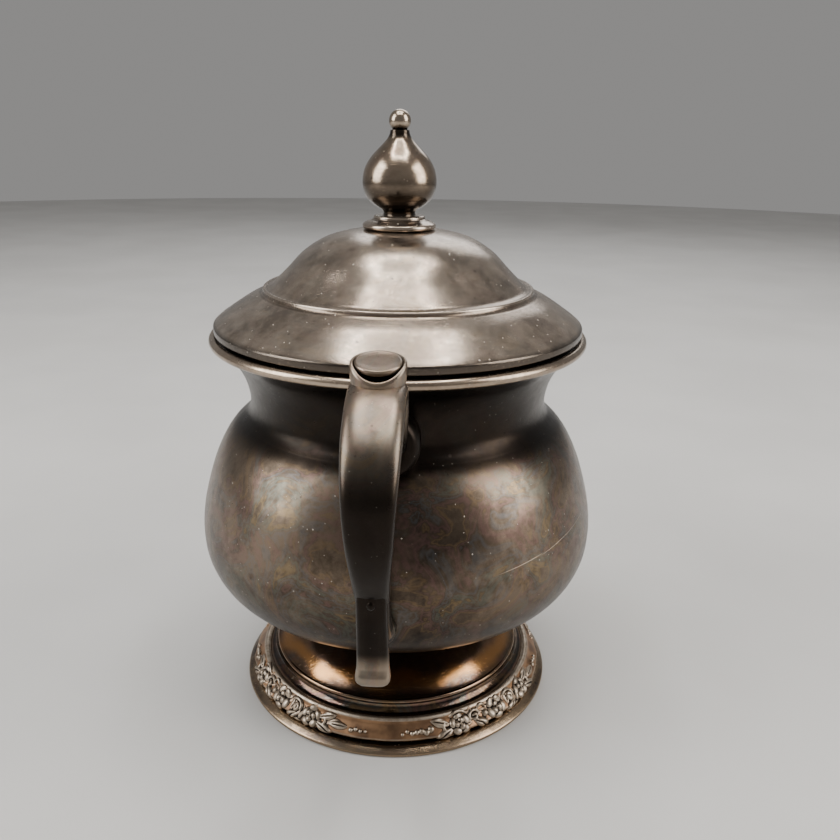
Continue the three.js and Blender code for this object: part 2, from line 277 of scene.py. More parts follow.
# %% Materials
class Finish:
    """A material whose nodes are made by expressions."""

    def __init__(self, name):
        self.material = bpy.data.materials.new(name)
        self.material.use_nodes = True
        self.tree = self.material.node_tree
        self.shader = self.tree.nodes["Principled BSDF"]
        coordinates = self.node("ShaderNodeTexCoord", {}, {}, None)
        self.place = Field(self, coordinates.outputs["Object"])
        split = self.node("ShaderNodeSeparateXYZ", {}, {"Vector": self.place}, None)
        self.x, self.y, self.z = (Field(self, split.outputs[k]) * (1 / MM) for k in range(3))

    def node(self, kind, settings, inputs, output):
        """Adds a node: its settings first, then the values or links of its sockets."""
        made = self.tree.nodes.new(kind)
        for key, value in settings.items():
            setattr(made, key, value)
        for key, value in inputs.items():
            if isinstance(value, Field):
                self.tree.links.new(value.socket, made.inputs[key])
            else:
                made.inputs[key].default_value = value
        return made if output is None else Field(self, made.outputs[output])

    def moved(self, shift, stretch=(1, 1, 1)):
        """The place on the object, stretched, then shifted alike along all three axes."""
        return self.node("ShaderNodeMapping", {}, {
            "Vector": self.place, "Scale": stretch, "Location": (shift, shift, shift)}, "Vector")

    def noise(self, size, detail=4, roughness=0.55, stretch=(1, 1, 1), shift=0.0, distortion=0.0):
        """Soft random values from about 0.3 to 0.7, with lumps of a size in millimetres."""
        spot = self.moved(shift, stretch)
        return self.node("ShaderNodeTexNoise", {"noise_dimensions": "3D"}, {
            "Vector": spot, "Scale": 1 / (size * MM), "Detail": detail, "Roughness": roughness,
            "Distortion": distortion}, 0)

    def cells(self, size, shift=0.0):
        """Distance to the nearest of scattered points, and each point's own random number."""
        made = self.node("ShaderNodeTexVoronoi", {}, {
            "Vector": self.moved(shift), "Scale": 1 / (size * MM)}, None)
        colour = Field(self, made.outputs["Color"])
        pick = self.node("ShaderNodeSeparateColor", {}, {"Color": colour}, "Red")
        return Field(self, made.outputs["Distance"]), pick

    def specks(self, size, share, reach=0.16, shift=0.0):
        """1 on small round spots: near a scattered point, and only for a share of the points."""
        distance, pick = self.cells(size, shift)
        return distance.steps(reach, reach * 0.5) * pick.steps(share, share * 0.9)

    def mix(self, factor, first, second, blend="MIX"):
        """First where the factor is 0 and second where it is 1."""
        made = self.node("ShaderNodeMix", {"data_type": "RGBA", "blend_type": blend}, {}, None)
        for key, value in ((0, factor), (6, first), (7, second)):
            if isinstance(value, Field):
                self.tree.links.new(value.socket, made.inputs[key])
            elif key == 0:
                made.inputs[key].default_value = value
            else:
                made.inputs[key].default_value = (*value, 1)
        return Field(self, made.outputs[2])

    def attribute(self, key):
        """A value that the mesh carries at its points."""
        return self.node("ShaderNodeAttribute", {"attribute_name": key}, {}, "Fac")

    def finish(self, colour, roughness, height=None, metallic=1.0, depth=0.05):
        """Wires the shader up. Height is a field from 0 to 1, and depth is in millimetres."""
        for key, value in (("Base Color", colour), ("Roughness", roughness), ("Metallic", metallic)):
            if isinstance(value, Field):
                self.tree.links.new(value.socket, self.shader.inputs[key])
            else:
                self.shader.inputs[key].default_value = value
        if height is not None:
            bump = self.node("ShaderNodeBump", {}, {"Height": height, "Distance": depth * MM,
                                                    "Strength": 1.0}, "Normal")
            self.tree.links.new(bump.socket, self.shader.inputs["Normal"])
        return self.material


print("a finish can hold noise, cells, specks, mixes and attributes")

# %% [markdown]
# ## Tarnished plate
# Silver goes through gold, pink and blue to brown-black as sulphur builds on it, thickest where no
# hand or cloth reaches. Clouds of noise set how thick the film is, a second noise chooses its tint,
# and the film also dulls the gloss a little. Dust gives pale specks, and cleaning leaves fine lines.

# %% Tarnished plate
# The colour of painted shade.
SHADE_BLACK = (0.011, 0.0085, 0.0072)
DUST = (0.55, 0.50, 0.44)
STAIN = (0.05, 0.04, 0.035)
BARE_METAL = (0.50, 0.40, 0.31)
FILM_TINTS = [      # where the tint noise has this value, the film has this colour
    (0.42, (0.30, 0.19, 0.09)), (0.47, (0.25, 0.125, 0.13)), (0.53, (0.13, 0.16, 0.19)),
    (0.59, (0.13, 0.19, 0.17)), (0.64, (0.35, 0.25, 0.10))]
TINT_REACH = 0.028
SCRATCH_TAPER = 4     # millimetres over which a scratch fades in and out


def scratch(finish, across, offset, width, along, start, end):
    """1 on a thin straight line: near the plane across.p = offset, from start to end along a way."""
    def measure(way):
        return finish.x * way[0] + finish.y * way[1] + finish.z * way[2]
    line = (measure(across) - offset).absolute().steps(width, width * 0.3)
    from_start = measure(along).steps(start, start + SCRATCH_TAPER)
    return line * from_start * measure(along).steps(end, end - SCRATCH_TAPER)


def tarnished_plate(name, light, middle, dark, gloss, tint, dust, shade=None, scratches=(),
                    chalk=0.0, patchy=2.3, brushed=0.2, ring=None):
    """Silver plate under a film of tarnish. The film's thickness mixes light, middle and dark, shade
    is painted shade that takes places further towards black, chalk is a dry bloom that hides some of
    the metal, and patchy is the strength of the large clouds. A ring is a height, a half width and the
    colour of a painted reflection there."""
    f = Finish(name)
    clouds = f.noise(27, 5, 0.62, shift=0.31, distortion=0.5)
    mottle = f.noise(2.6, 6, 0.68, shift=1.7)
    film = (clouds - 0.5) * patchy + 0.32 + (mottle - 0.5) * 1.1
    film = (film + f.attribute("hollow") * 0.9 - f.attribute("worn") * 0.7).clamp()
    base = f.mix(film.steps(0.0, 0.55), light, middle)
    base = f.mix(film.steps(0.45, 1.0), base, dark)
    hue = f.noise(15, 4, 0.55, shift=4.1, distortion=1.1)
    for centre, hint in FILM_TINTS:
        band = (1 - (hue - centre).absolute() / TINT_REACH).clamp()
        base = f.mix(band * tint, base, hint)
    if ring is not None:
        # Painted reflection: a band of colour round a height, wandering a little.
        level, reach, reflection_tint = ring
        wander = f.z + (f.noise(14, 2, 0.4, shift=6.6) - 0.5) * 6.0
        base = f.mix((wander - level).absolute().steps(reach, 0.2) * 0.85, base, reflection_tint)
    clear = 1.0
    # Painted shade: where the shade mask is high, the colour goes to black and the dust thins.
    if shade is not None:
        base = f.mix(shade(f), base, SHADE_BLACK)
        clear = 1 - shade(f) * 0.7
    lines = f.noise(1.1, 2, 0.4, stretch=(1, 1, 26), shift=2.2)
    hair = f.noise(0.5, 1, 0.3, stretch=(0.05, 1, 1), shift=5.0).steps(0.64, 0.70)
    speck = f.specks(2.4, 0.20, 0.10) + f.specks(1.1, 0.10, 0.16, shift=0.7)
    stain = f.specks(5.5, 0.30, 0.11, shift=1.3) + f.specks(2.9, 0.12, 0.12, shift=2.9)
    mark = (speck * dust * clear).clamp()
    cut = hair * brushed
    for settings in scratches:
        cut = cut + scratch(f, *settings)
    base = f.mix((stain * 0.5).clamp(), base, STAIN)
    base = f.mix(mark * 0.7, base, DUST)
    base = f.mix((cut * 0.6).clamp(), base, BARE_METAL)
    bloom = ((f.noise(9, 6, 0.7, shift=3.3) - 0.38) * 3.0).clamp() * chalk
    rough = (gloss + (mottle - 0.5) * 0.22 + (lines - 0.5) * 0.08 + bloom * 0.22 + mark * 0.35).clamp()
    height = mottle * 0.25 + lines * 0.12 + clouds * 0.6 + mark * 0.9 - cut * 0.5
    return f.finish(base, rough, height, metallic=(1 - bloom - mark * 0.4).clamp(), depth=0.05)


print("tints in the film:", len(FILM_TINTS))

# %% [markdown]
# Every part of the bowl has its own history, with painted shade laid over some of it. The neck and the
# belly's underside are painted nearly black as painted shade, the lid is dusty and its turned-down edge
# is darker as painted shade, and the rim is kept bright by hands. The handle is painted darker below its
# top, and the knob on its lower half and under its ball, both as painted shade. The same recipe serves
# them all: three colours from thin film to thick, the gloss, the tint, the dust, and a painted shade
# that says by height where the black sits.

# %% The plated parts
# Painted shade: the neck and the lower belly are taken nearly to black.
BELLY = tarnished_plate(
    "belly_tarnish_and_painted_shade", (0.170, 0.130, 0.095), (0.086, 0.065, 0.048), (0.030, 0.0235, 0.020), 0.31, 0.24, 0.8,
    shade=lambda f: (f.z.steps(78, 84) * 0.94 + f.z.steps(60, 30) * 0.85).clamp(), chalk=0.05, brushed=0.0,
    scratches=[((-0.13, 0.0, 0.99), 54.0, 0.10, (1, 0, 0), 27, 41),
               ((-0.20, 0.0, 0.98), 50.3, 0.07, (1, 0, 0), 38, 54)])
# Painted reflection: an orange ring on the dome, about 13.6 mm up, tints the glints there.
FOOT = tarnished_plate(
    "foot_tarnish_and_painted_reflection", (0.20, 0.132, 0.086), (0.085, 0.055, 0.039), (0.030, 0.024, 0.021), 0.14, 0.22, 0.25,
    patchy=0.9, ring=(13.6, 2.1, (0.46, 0.23, 0.085)))
# Painted shade: the lid's turned-down edge is darker.
LID = tarnished_plate(
    "lid_tarnish_and_painted_shade", (0.37, 0.308, 0.25), (0.29, 0.235, 0.187), (0.185, 0.145, 0.112), 0.20, 0.10, 1.3,
    shade=lambda f: f.z.steps(111.2, 110.2) * 0.78, chalk=0.26, patchy=0.5)
# Painted shade: the handle is darker below its top and lighter again towards the spur's tip. It is black
# where the mesh is marked hollow, which on the strap and cup is a painted shadow under the thumb pad.
HANDLE = tarnished_plate(
    "handle_tarnish_and_painted_shade", (0.25, 0.20, 0.154), (0.165, 0.128, 0.097), (0.08, 0.06, 0.047), 0.30, 0.20, 0.45,
    shade=lambda f: ((f.z.steps(112, 90) - f.z.steps(52, 47)) * 0.97 + f.attribute("hollow")).clamp(),
    chalk=0.08, brushed=0.0)
# Painted shade: the knob is darker on its lower half and under its ball.
KNOB = tarnished_plate(
    "knob_tarnish_and_painted_shade", (0.40, 0.32, 0.245), (0.265, 0.20, 0.146), (0.12, 0.086, 0.060), 0.19, 0.12, 0.4,
    shade=lambda f: (f.z.steps(149.5, 144.5) * 0.80
                     + f.z.steps(161.6, 160.4) * f.z.steps(157.6, 158.8) * 0.85).clamp(),
    patchy=1.2)
WIRE = tarnished_plate(
    "worn_wire", (0.46, 0.37, 0.28), (0.32, 0.25, 0.19), (0.14, 0.11, 0.085), 0.24, 0.10, 0.3)
BASE = tarnished_plate(
    "base_tarnish", (0.30, 0.22, 0.145), (0.12, 0.088, 0.064), (0.055, 0.042, 0.034), 0.24, 0.12, 0.3)

print("plated finishes:", len(bpy.data.materials))

# %% [markdown]
# The border and the fastenings differ. On the cast flowers the tops are rubbed pale and the grooves
# hold black, which a height stored on the mesh can drive directly. The fastenings are plain brass that
# nobody sees, so one colour with a little dulling is enough.

# %% Border and brass
GROOVE = (0.022, 0.017, 0.015)


def relief_plate():
    """The cast border: high points rubbed pale, copper showing on the flats, black in the grooves."""
    f = Finish("border_tarnish")
    hollow = f.attribute("hollow")
    high = f.attribute("relief")
    mottle = f.noise(1.6, 4, 0.6)
    copper = f.mix(f.noise(7, 3, 0.5).steps(0.38, 0.62), (0.34, 0.20, 0.11), (0.17, 0.10, 0.06))
    worn = f.mix(mottle.steps(0.40, 0.62), (0.44, 0.37, 0.295), (0.31, 0.25, 0.19))
    base = f.mix(high.steps(0.12, 0.42), copper, worn)
    base = f.mix(hollow.steps(0.12, 0.50), base, GROOVE)
    rough = (0.42 + (mottle - 0.5) * 0.2 + hollow.steps(0.3, 0.9) * 0.3).clamp()
    return f.finish(base, rough, mottle, depth=0.02)


BORDER = relief_plate()


def plain_brass():
    """Lacquered brass, a little dulled, for the fastenings inside the lid."""
    f = Finish("dull_brass")
    dull = f.noise(2.5, 4, 0.6)
    base = f.mix(dull.steps(0.35, 0.65), (0.52, 0.36, 0.14), (0.34, 0.22, 0.09))
    return f.finish(base, 0.25 + dull * 0.3, dull, depth=0.02)


BRASS = plain_brass()
print("finishes:", len(bpy.data.materials))

# %% [markdown]
# ## The bowl
# The belly was spun in one piece with the neck and the lip. Its outline is fullest below the middle,
# rises to a rounded shoulder and turns sharply into a neck that opens in a cove to the lip. A bead of
# half-round wire soldered on stiffens the edge. Both could be bought as turned profiles in Blender's
# Screw modifier, but worked out in numpy they can also carry their wear.

# %% Bowl and its rim bead
BOWL_WALL = 1.0
belly_line = smooth_line([
    (0, 23.8), (12, 23.8), (25.6, 25.1), (36.3, 28.9), (45.2, 32.8), (52.0, 37.9), (55.6, 44.6),
    (56.52, 51.5), (55.9, 58.4), (54.3, 65.1), (52.2, 71.6), (49.6, 77.2), (46.9, 81.2), (44.2, 83.8)], 112)
neck_line = smooth_line([
    (44.2, 83.8), (42.3, 85.9), (41.5, 88.8), (41.9, 92.8), (43.1, 96.8), (45.3, 100.8), (48.2, 104.0),
    (49.5, 106.2)], 56)
bowl_line = np.vstack([belly_line, neck_line[1:]])
spun_bowl = spun("spun_bowl", walled(bowl_line, BOWL_WALL))
place(spun_bowl, "bowl", "tarnished_silver", BELLY, "bowl_shell")

RIM_RADIUS, RIM_HEIGHT = 50.4, 106.25
bead_section = arc((RIM_RADIUS, RIM_HEIGHT), 1.4, 1.35, 0, 345, 24)
lip_bead = skin("lip_bead", turned(bead_section), rows_close=True)
place(lip_bead, "bowl", "worn_silver", WIRE, "rim_bead")

# %% [markdown]
# ## The foot
# The foot is a spun dome with a rolled step, on a flat wire that carries the weight. It is open
# underneath, so it has a wall like the bowl. The step is a true arc between two curves, because a
# rolled edge is what catches the light.

# %% Foot and base wire
FOOT_WALL = 1.0
foot_line = np.vstack([
    smooth_line([(42.3, 2.8), (42.3, 3.6), (40.6, 6.0), (39.7, 7.6), (38.5, 8.2), (37.6, 9.1),
                 (37.25, 10.1)], 34),
    arc((36.65, 10.55), 0.6, 0.75, -15, 75, 10),
    smooth_line([(36.4, 11.35), (35.2, 12.2), (31.5, 15.3), (27.0, 18.2), (23.6, 20.6), (22.4, 24.2)], 40)])
domed_foot = spun("domed_foot", walled(foot_line, FOOT_WALL), rows_close=True)
place(domed_foot, "bowl", "tarnished_silver", FOOT, "foot_shell")

BASE_RADIUS, BASE_EDGE = 46.6, 0.7
base_line = np.vstack([
    [(41.6, 0.0)], arc((BASE_RADIUS - BASE_EDGE, BASE_EDGE), BASE_EDGE, BASE_EDGE, -90, 60, 10),
    [(45.4, 1.9), (44.7, 2.3), (43.6, 2.5), (41.6, 2.5)]])
base_wire = spun("base_wire", base_line, rows_close=True)
place(base_wire, "bowl", "worn_silver", BASE, "foot_base_ring")

# %% [markdown]
# ## The rose border
# The border is a narrow sloping band between a wavy lower lip and a bead, with four cast garlands.
# A garland is a height field over the band: petals are low domes, and where two meet the higher one
# wins, which leaves the sharp groove that a chaser's tool would. Real height, unlike a bump, keeps the
# roses' outline and shadows from the side.

# %% Petals, leaves and curls
BAND_RADIUS = 42.8
BAND = [(43.1, 3.3), (44.1, 3.45), (44.45, 4.0), (44.1, 4.6), (43.0, 5.7), (41.9, 6.8), (41.55, 7.5),
        (41.3, 8.1), (40.7, 8.45), (40.0, 8.2)]
RELIEF_FULL = 1.5


def turned_to(u, v, centre, turn):
    """Distances along and aside of a direction, from a centre."""
    du, dv = u - centre[0], v - centre[1]
    return du * np.cos(turn) + dv * np.sin(turn), dv * np.cos(turn) - du * np.sin(turn)


def dome(u, v, centre, turn, half_long, half_wide, height, lean=0.0):
    """Height times the root of (1 - ellipse distance squared). It tips outwards, and lean tips it
    sideways, so that its edge stands above its neighbour like an overlapping petal."""
    along, aside = turned_to(u, v, centre, turn)
    along, aside = along / half_long, aside / half_wide
    rest = np.clip(1 - along ** 2 - aside ** 2, 0, None)
    return height * rest ** 0.42 * (1 + 0.16 * along + lean * aside)


def petals(u, v, centre, count, ring, half_long, half_wide, height, spin):
    """The highest of a ring of domes, each over its neighbour."""
    turns = spin + np.arange(count) * 2 * np.pi / count
    return np.max([dome(u, v, (centre[0] + ring * np.cos(t), centre[1] + ring * np.sin(t)), t,
                        half_long, half_wide, height, 0.26) for t in turns], axis=0)


def rose(u, v, centre, size, spin):
    """Two rings of overlapping petals, the inner one higher, round a bud."""
    return np.max([
        dome(u, v, centre, 0, size * 0.9, size * 0.9, 0.45),
        petals(u, v, centre, 5, size * 0.62, size * 0.37, size * 0.47, 0.92, spin),
        petals(u, v, centre, 3, size * 0.27, size * 0.30, size * 0.36, 1.24, spin + 0.6),
        dome(u, v, centre, 0, size * 0.17, size * 0.17, 1.48)], axis=0)


def leaf(u, v, centre, turn, half_long, half_wide, height):
    """A pointed oval: height falls to nothing at the curved sides, with a groove along the middle."""
    along, aside = turned_to(u, v, centre, turn)
    along, aside = along / half_long, aside / half_wide
    reach = np.clip(1 - along ** 2, 0, None)
    body = np.clip(1 - (aside / (reach + 1e-6)) ** 2, 0, None) * (reach > 0)
    return height * body ** 0.5 * reach ** 0.3 * (1 - 0.4 * np.exp(-(aside / 0.13) ** 2))


def curl(u, v, centre, radius, half_wide, start, end, height):
    """A round ridge that follows part of a circle and dies away at both ends."""
    du, dv = u - centre[0], v - centre[1]
    across = (np.hypot(du, dv) - radius) / half_wide
    turn = (np.arctan2(dv, du) - start) % (2 * np.pi) / (end - start)
    ends = np.clip(1 - (2 * turn - 1) ** 4, 0, None) * (turn < 1)
    return height * np.clip(1 - across ** 2, 0, None) ** 0.5 * ends ** 0.5


print("a petal's middle stands", round(float(dome(0, 0, (0, 0), 0, 1, 1, 1.0)), 2), "times its height")

# %% [markdown]
# One garland has three roses, leaves that fan out at its ends, tendrils that curl between the roses
# and a trail of beads that shrinks towards the plain band. Small leaves laid at random behind them
# fill the ground, as a die sinker fills it with punch marks. Each entry is a place along and across
# the band in millimetres, then a turn and sizes.

# %% One garland
GROUND_LEAVES = 22
LONG_TRAIL, SHORT_TRAIL = 7, 4


def garland_relief(u, v):
    """The highest of all the flowers, leaves, curls and beads of one garland, in millimetres."""
    made = [
        rose(u, v, (-12.6, 0.1), 3.15, 0.3), rose(u, v, (0.0, 0.3), 3.6, 0.9),
        rose(u, v, (11.9, 0.2), 3.2, 1.6),
        leaf(u, v, (-18.2, 1.5), 2.8, 3.1, 1.45, 0.95), leaf(u, v, (-17.4, -1.7), -2.75, 2.9, 1.35, 0.95),
        leaf(u, v, (-15.9, -2.9), 0.35, 1.9, 0.6, 0.75), leaf(u, v, (-10.4, -2.9), -0.35, 2.0, 0.7, 0.8),
        leaf(u, v, (-5.9, -1.7), -0.55, 3.0, 1.35, 0.95), leaf(u, v, (-4.7, -3.0), 0.2, 1.8, 0.6, 0.75),
        leaf(u, v, (5.2, -2.1), 0.5, 2.7, 1.2, 0.95), leaf(u, v, (7.6, -2.6), 0.1, 2.2, 0.85, 0.85),
        leaf(u, v, (16.9, 1.7), 0.35, 3.0, 1.35, 0.95), leaf(u, v, (16.6, -1.5), -0.3, 3.0, 1.3, 0.95),
        leaf(u, v, (20.6, 0.2), 0.05, 3.1, 1.2, 0.9), leaf(u, v, (8.9, -0.6), 1.2, 1.6, 0.7, 0.9),
        curl(u, v, (-12.6, 0.1), 3.45, 0.5, 0.5, 2.5, 0.85),
        curl(u, v, (-7.6, 0.6), 1.75, 0.62, 0.2, 3.6, 0.95),
        curl(u, v, (-7.6, 0.6), 0.55, 0.6, -3.1, 3.1, 1.0),
        curl(u, v, (-4.9, 1.9), 1.3, 0.5, 0.0, 2.9, 0.85),
        curl(u, v, (5.8, 0.7), 2.0, 0.62, -0.5, 2.7, 0.95),
        curl(u, v, (6.1, 0.5), 0.85, 0.6, -2.3, 2.2, 1.0),
        curl(u, v, (11.9, 0.2), 3.5, 0.45, 3.9, 5.5, 0.8),
        curl(u, v, (15.3, 0.2), 1.3, 0.5, -1.3, 1.3, 0.85),
        curl(u, v, (-16.2, 0.2), 1.2, 0.5, 1.9, 4.3, 0.85),
    ]
    random = np.random.default_rng(5)
    for place_u in np.linspace(-18, 19, GROUND_LEAVES):
        spot = (place_u, random.uniform(-2.4, 2.4))
        made.append(leaf(u, v, spot, random.uniform(0, np.pi), 2.5, 1.2, random.uniform(0.45, 0.6)))
    made += [dome(u, v, (-4.2, 0.3), 0, 1.05, 1.05, 0.95), dome(u, v, (5.7, 0.5), 0, 1.0, 1.0, 0.95)]
    for step in range(LONG_TRAIL):
        size = 1.0 - 0.07 * step
        sway = 0.35 * np.cos(step * 2.6)
        made.append(dome(u, v, (-21.0 - 1.3 * step, sway), 0, size, size, 1.0 - 0.05 * step))
        if step < SHORT_TRAIL:
            made.append(dome(u, v, (24.3 + 1.35 * step, -0.6 * sway), 0, size * 0.75, size * 0.75, 0.85))
    return np.max(made, axis=0)


def softened(field, times):
    """Each value becomes the mean of itself and its four neighbours, several times over."""
    for _ in range(times):
        field = (field + np.roll(field, 1, 0) + np.roll(field, -1, 0)
                 + np.roll(field, 1, 1) + np.roll(field, -1, 1)) / 5
    return field


tallest = garland_relief(np.linspace(-20, 20, 200)[:, None], np.linspace(-3, 3, 40)[None]).max()
print("tallest part of the relief in mm:", round(float(tallest), 2))

# %% [markdown]
# The plain band runs all round under the garlands. Each garland is its own piece over a quarter of the
# foot, sunk a fifth of a millimetre into the band, so that only its flowers stand out and the band
# shows between them.

# %% Band and garlands in place
def band_ring(line, turn_angles):
    """The band's outline at each angle around the foot: rows are angles, columns the outline."""
    sine, cosine = np.sin(turn_angles)[:, None], np.cos(turn_angles)[:, None]
    return np.stack([line[..., 0] * sine, -line[..., 0] * cosine, line[..., 1] + 0 * sine], -1)


def sloping_band():
    """The plain band all round. Its lower lip waves in and out by a fifth of a millimetre."""
    angles = np.linspace(0, 2 * np.pi, 576, endpoint=False)
    front = smooth_line(BAND, 44)
    loop = np.vstack([front, smooth_line([(39.6, 7.9), (40.3, 6.4), (42.0, 4.2), (42.5, 3.3)], 10)])
    wave = 0.14 * np.sin(angles * 22) + 0.09 * np.sin(angles * 37 + 1)
    near_lip = np.exp(-((loop[:, 1] - 3.8) / 0.6) ** 2) * (loop[:, 0] > 42.6)
    line = np.repeat(loop[None], len(angles), 0)
    line[..., 0] += wave[:, None] * near_lip
    line[..., 1] += 0.8 * wave[:, None] * near_lip
    grid = band_ring(line, angles)
    # Painted shadow: the underside of the lower lip is marked hollow, which darkens it.
    low = np.broadcast_to(np.exp(-((loop[:, 1] - 3.3) / 0.35) ** 2) * 0.9, grid.shape[:2])
    edge = np.exp(-((loop[:, 1] - 8.2) / 0.5) ** 2) + 0.6 * np.exp(-((loop[:, 1] - 4.1) / 0.35) ** 2)
    high = np.broadcast_to(edge * 0.5, grid.shape[:2])
    return skin("sloping_band", grid, rows_close=True, attributes={"hollow": low, "relief": high})


GARLAND_REACH = 30.5   # half a garland's length along the band
BAND_MIDDLE = 3.55     # from the band's lower edge, over its face, to the middle of the roses
GROOVE_GAIN = 11.0     # a spot this many times deeper than its surroundings in mm counts as full
SUNK = 0.22
GARLAND_WALL = 0.8


def rose_garland(index):
    """One garland: the band's face, sunk a little, and raised by the relief."""
    middle = np.radians(45 + 90 * index)
    line = smooth_line(BAND, 400)
    length = np.concatenate([[0], np.cumsum(np.linalg.norm(np.diff(line, axis=0), axis=1))])
    across = np.linspace(0.35, length[-1] - 0.1, 84)
    face = np.stack([np.interp(across, length, line[:, k]) for k in range(2)], 1)
    normal = -left_of(face)
    u = np.linspace(-GARLAND_REACH, GARLAND_REACH, 700)[:, None]
    v = (across - BAND_MIDDLE)[None]
    height = softened(garland_relief(u, v), 4)
    hollow = np.clip((softened(height, 14) - height) * GROOVE_GAIN, 0, 1)
    sunk = height - SUNK
    front = face[None] + sunk[..., None] * normal[None]
    back = np.repeat((face[::-12] - GARLAND_WALL * normal[::-12])[None], len(u), 0)
    loop = np.concatenate([front, back], 1)
    spare = np.zeros((len(u), back.shape[1]))
    grid = band_ring(loop, middle + u[:, 0] / BAND_RADIUS)
    fields = {"hollow": np.hstack([hollow, spare + 1]), "relief": np.hstack([height / RELIEF_FULL, spare])}
    return skin(f"rose_garland_{index + 1}", grid, attributes=fields, crease=60)


place(sloping_band(), "bowl", "worn_silver", BORDER, "foot_border")
for number in range(4):
    place(rose_garland(number), "bowl", "worn_silver", BORDER)

# %% [markdown]
# ## The lid
# The lid was spun too: a rounded edge that turns down, a sloping brim, a small step, and a dome. A ring
# soldered inside drops into the bowl's mouth and keeps the lid from sliding off.

# %% Lid and bezel
LID_EDGE = 50.35
LID_WALL = 0.9
lid_line = np.vstack([
    arc((LID_EDGE - 0.5, 108.8), 0.5, 0.5, -90, 0, 6),
    arc((LID_EDGE - 0.9, 109.9), 0.9, 0.9, 0, 55, 8),
    smooth_line([(48.6, 111.75), (45.2, 114.1), (41.6, 116.4), (38.2, 118.1)], 36),
    smooth_line([(37.4, 118.4), (37.0, 118.8), (36.85, 119.2)], 6),
    arc((36.35, 119.35), 0.48, 0.5, 5, 95, 8),
    smooth_line([(35.6, 119.75), (34.6, 120.2), (33.5, 121.1), (30.2, 124.3), (25.8, 128.8), (20.4, 132.2),
                 (15.0, 133.9), (9.0, 134.8), (1.8, 134.9)], 90)])
spun_lid = spun("spun_lid", walled(lid_line, LID_WALL), rows_close=True)
place(spun_lid, "lid", "dusty_silver", LID, "lid_shell")

bezel_line = [(43.6, 103.2), (43.8, 103.0), (44.3, 103.0), (44.6, 103.4), (44.6, 113.2), (43.6, 113.9)]
inner_bezel = spun("inner_bezel", bezel_line, rows_close=True)
place(inner_bezel, "lid", "dusty_silver", LID, "lid_bezel")

# %% [markdown]
# ## Collar and knob
# The knob was turned: an onion on a short stem, a slender neck and a ball. It stands on a small bell
# that was spun with the lid's finish. A stud runs down from the knob through the lid, with a washer
# and a nut inside. Those three are hidden and plain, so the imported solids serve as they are.

# %% Collar, knob and fastenings
collar_line = np.vstack([
    [(1.8, 134.95)], arc((9.0, 135.75), 0.85, 0.8, -80, 55, 10),
    smooth_line([(9.2, 136.6), (8.3, 137.0), (7.4, 137.3), (6.95, 137.6)], 12),
    arc((6.3, 137.95), 0.6, 0.5, -10, 90, 8), [(3.6, 138.5), (1.8, 138.5)]])
knob_collar = spun("knob_collar", collar_line, 128, rows_close=True)
place(knob_collar, "lid", "dusty_silver", LID, "finial_collar")

onion = smooth_line([
    (4.4, 138.4), (4.25, 139.1), (4.7, 139.9), (6.4, 140.9), (8.4, 142.6), (9.5, 145.0),
    (9.75, 147.6), (9.1, 150.6), (7.4, 153.4), (5.2, 155.7), (3.5, 157.5), (2.7, 158.8), (2.45, 159.9)], 90)
ball = arc((0, 162.2), 2.85, 2.8, -50, 90, 30)
ball[-1, 0] = 0
knob_line = np.vstack([[(0, 138.4)], onion, ball])
onion_knob = spun("onion_knob", knob_line, 160)
place(onion_knob, "lid", "bronzed_silver", KNOB, "finial")

for node in ("finial_stud", "finial_washer", "finial_nut"):
    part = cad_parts[node]
    part.data.materials.clear()
    part.data.materials.append(BRASS)
print("fastenings in brass: 3")

# %% [markdown]
# ## The handles
# Each handle is one casting: a strap that leaves the bowl's neck, turns over under a thumb rest, bows
# out and comes back in to the belly, with a straight spur below. We sweep a rounded section along a
# path in the handle's own plane. The section's width follows its height above the table, so that the
# front view tapers as the casting does.

# %% Strap and spur
STRAP_PATH = [
    (46.0, 88.2), (51.8, 96.2), (54.6, 102.6), (57.6, 107.2), (62.9, 106.8), (69.0, 103.8), (75.2, 98.2),
    (78.8, 91.4), (78.98, 83.8), (76.7, 75.4), (72.4, 66.4), (66.6, 57.4), (60.6, 50.4), (55.4, 45.2)]
WIDTHS = [      # height and the strap's half width there
    (40, 3.5), (60, 3.5), (71, 4.1), (81, 5.0), (92, 5.7), (101, 6.35), (108, 6.45), (112, 6.2),
    (116, 4.9)]
STRAP_HALF_THICKNESS = 2.5
SPUR_PATH = [
    (74.0, 70.5), (73.9, 66.2), (73.3, 61.5), (72.35, 55.5), (71.6, 49.8), (71.7, 46.4), (72.6, 42.9)]
SPUR_SIZES = [      # row, half width and half thickness, to a rounded tip
    (0, 2.6, 1.2), (14, 3.35, 1.75), (40, 3.5, 1.8), (62, 3.7, 1.9), (70, 3.95, 2.2), (73, 3.85, 2.1),
    (75, 3.5, 1.8), (77, 2.8, 1.3), (79, 1.2, 0.4)]
SPUR_ROWS = 80
CORNER_WEAR = 3.2


def rounded(count, power):
    """A closed section: cosine and sine, each raised to 2 over the power, which squares it off."""
    angle = np.linspace(0, 2 * np.pi, count, endpoint=False)
    shape = np.stack([np.cos(angle), np.sin(angle)], 1)
    return np.sign(shape) * np.abs(shape) ** (2 / power)


def swept(path, half_width, half_thick, section):
    """Points at path + width times the section across, and thickness times it along the normal.
    The path lies in the plane of distance and height, and the width is along X."""
    normal = left_of(path)
    across = half_width[:, None] * section[None, :, 0]
    out = half_thick[:, None] * section[None, :, 1]
    distance = path[:, :1] + out * normal[:, :1]
    height = path[:, 1:] + out * normal[:, 1:]
    return np.stack([across, -distance, height], -1)


def corners(section):
    """Near 1 at a section's corners, where hands rub, and near 0 on its flats."""
    return np.prod(np.abs(section), axis=1) ** 2 * CORNER_WEAR


